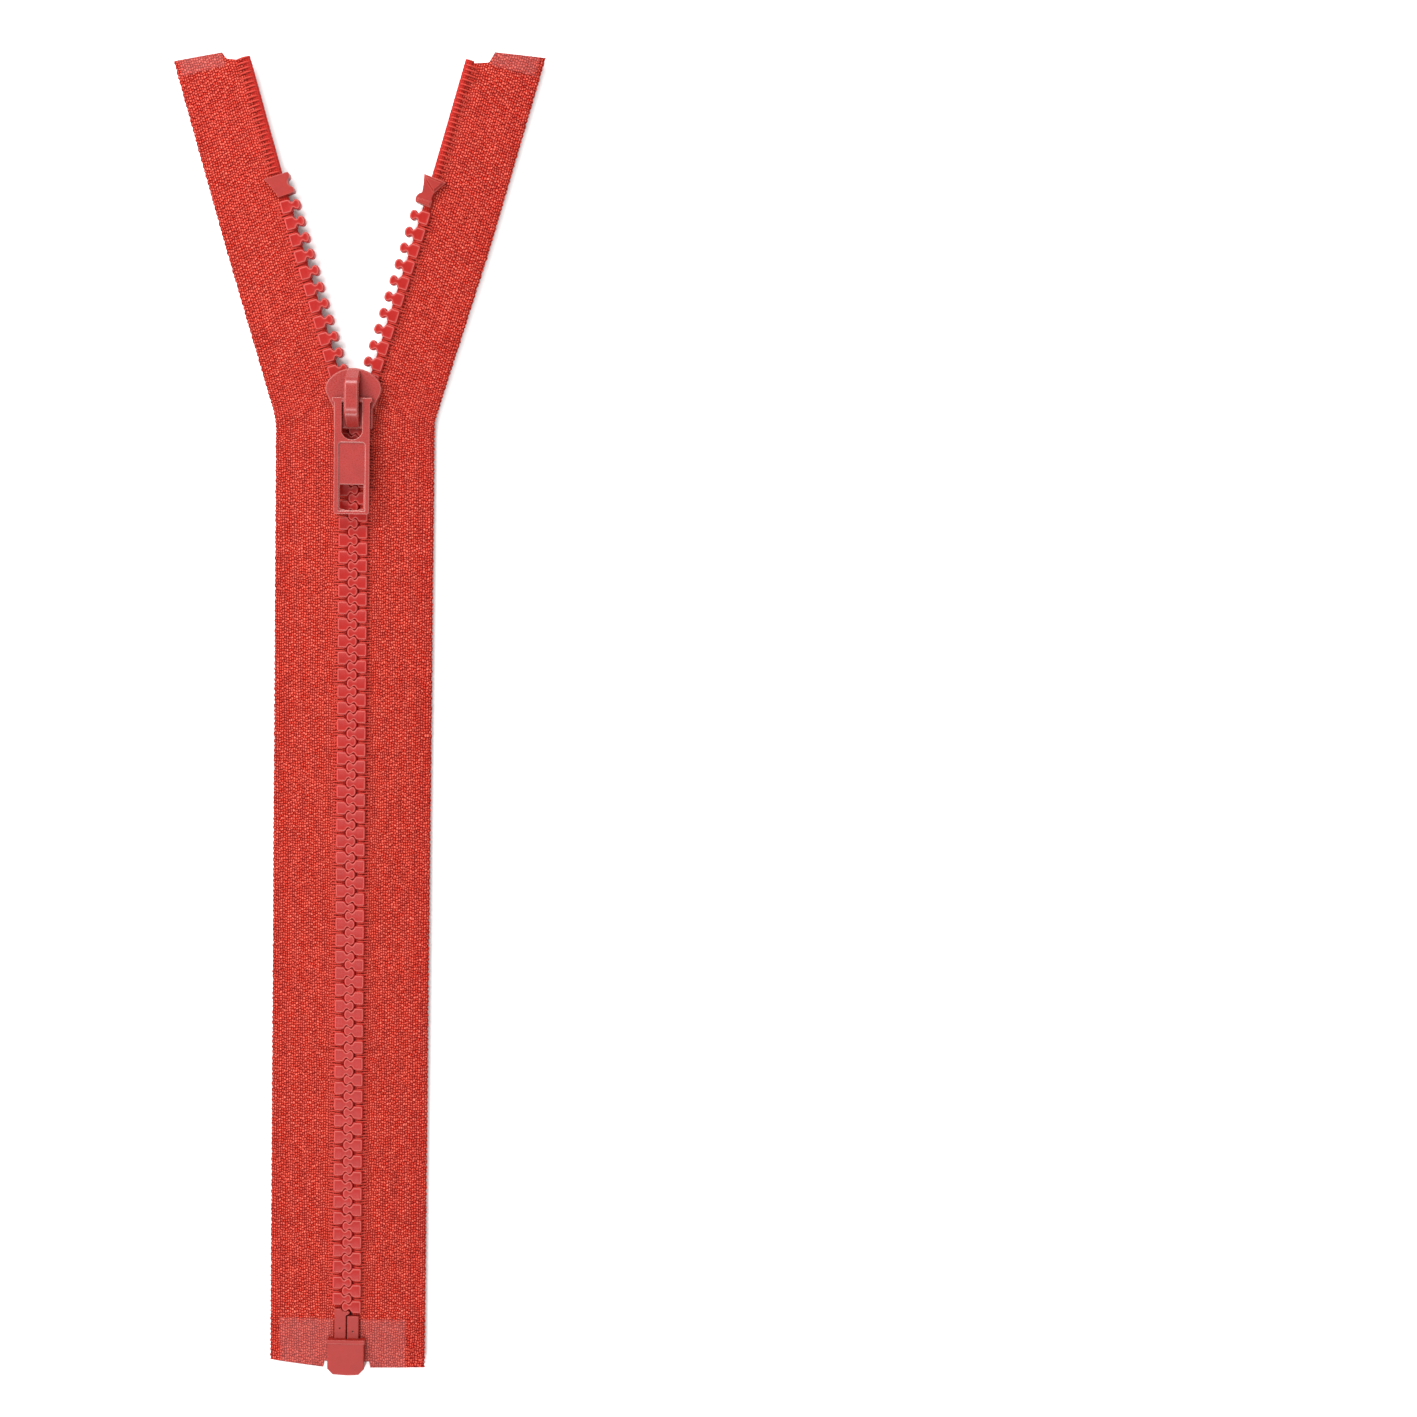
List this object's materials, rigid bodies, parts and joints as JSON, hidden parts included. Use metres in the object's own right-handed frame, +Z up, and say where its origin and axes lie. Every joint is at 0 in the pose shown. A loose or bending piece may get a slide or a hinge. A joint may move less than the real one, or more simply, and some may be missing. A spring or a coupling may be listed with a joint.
{
  "type": "separating zipper",
  "caption": "Open-end zipper with moulded plastic teeth on woven tapes, an auto-lock slider with a pull tab, top stops, and a retainer box with insertion pin.",
  "frame": {"origin": "on the chain's axis, at the middle of the whole length, on the face of the slider's back plate", "axes": "+X across the chain, +Y along the chain from the retainer box to the top stops, +Z up out of the slider's top plate"},
  "size_m": [0.0764, 0.2779, 0.008],
  "materials": {
    "tape": "matt woven polyester",
    "cord": "matt woven polyester cord",
    "teeth": "moulded acetal, satin",
    "moulded_plastic": "moulded acetal, satin",
    "film": "clear welded film over cloth",
    "painted_slider": "satin enamel on zinc",
    "spring_steel": "rolled spring steel"
  },
  "bodies": {
    "base": {"retainer_box": "moulded_plastic", "box_pin": "moulded_plastic", "insertion_pin": "moulded_plastic", "left_tape_foot": "tape", "right_tape_foot": "tape", "left_foot_film": "film", "right_foot_film": "film"},
    "left_stringer": {"left_tape_chain": "tape", "left_cord_chain": "cord", "left_teeth_chain": "teeth"},
    "right_stringer": {"right_tape_chain": "tape", "right_cord_chain": "cord", "right_teeth_chain": "teeth"},
    "left_arm": {"left_tape_arm": "tape", "left_cord_arm": "cord", "left_teeth_arm": "teeth", "left_top_stop": "moulded_plastic", "left_end_film": "film"},
    "right_arm": {"right_tape_arm": "tape", "right_cord_arm": "cord", "right_teeth_arm": "teeth", "right_top_stop": "moulded_plastic", "right_end_film": "film"},
    "slider": {"slider_body": "painted_slider", "slider_crown": "painted_slider"},
    "lock_leaf": {"lock_leaf": "spring_steel"},
    "pull_tab": {"pull_tab": "painted_slider"}
  },
  "joints": [
    {"name": "slider_travel", "type": "slide", "parent": "base", "child": "slider", "axis": [0, -1, 0], "range_m": [0, 0.192], "deforming": ["left_tape_foot", "left_tape_chain", "left_tape_arm", "left_cord_chain", "left_cord_arm", "left_teeth_chain", "left_teeth_arm", "right_tape_foot", "right_tape_chain", "right_tape_arm", "right_cord_chain", "right_cord_arm", "right_teeth_chain", "right_teeth_arm"]},
    {"name": "left_stringer_open", "type": "hinge", "parent": "base", "child": "left_stringer", "pos_m": [-0.0023, -0.1267, 0.00245], "axis": [0, 0, 1], "range_deg": [0, 15]},
    {"name": "right_stringer_open", "type": "hinge", "parent": "base", "child": "right_stringer", "pos_m": [0.0023, -0.1267, 0.00245], "axis": [0, 0, -1], "range_deg": [0, 15]},
    {"name": "left_arm_straighten", "type": "hinge", "parent": "left_stringer", "child": "left_arm", "pos_m": [-0.0023, 0.0653, 0.00245], "axis": [0, 0, -1], "range_deg": [0, 14]},
    {"name": "right_arm_straighten", "type": "hinge", "parent": "right_stringer", "child": "right_arm", "pos_m": [0.0023, 0.0653, 0.00245], "axis": [0, 0, 1], "range_deg": [0, 14]},
    {"name": "pull_tab_lift", "type": "hinge", "parent": "slider", "child": "pull_tab", "pos_m": [0, 0.0676, 0.0057], "axis": [-1, 0, 0], "range_deg": [0, 165]},
    {"name": "lock_leaf_lift", "type": "hinge", "parent": "slider", "child": "lock_leaf", "pos_m": [0, 0.07042, 0.00505], "axis": [-1, 0, 0], "range_deg": [0, 4.5]}
  ],
  "couplings": [
    {"joint": "left_stringer_open", "follows": "slider_travel", "rad_per_m": 1.3635},
    {"joint": "right_stringer_open", "follows": "slider_travel", "rad_per_m": 1.3635},
    {"joint": "left_arm_straighten", "follows": "slider_travel", "rad_per_m": 1.2726},
    {"joint": "right_arm_straighten", "follows": "slider_travel", "rad_per_m": 1.2726},
    {"joint": "lock_leaf_lift", "follows": "pull_tab_lift", "ratio": 0.0272}
  ]
}
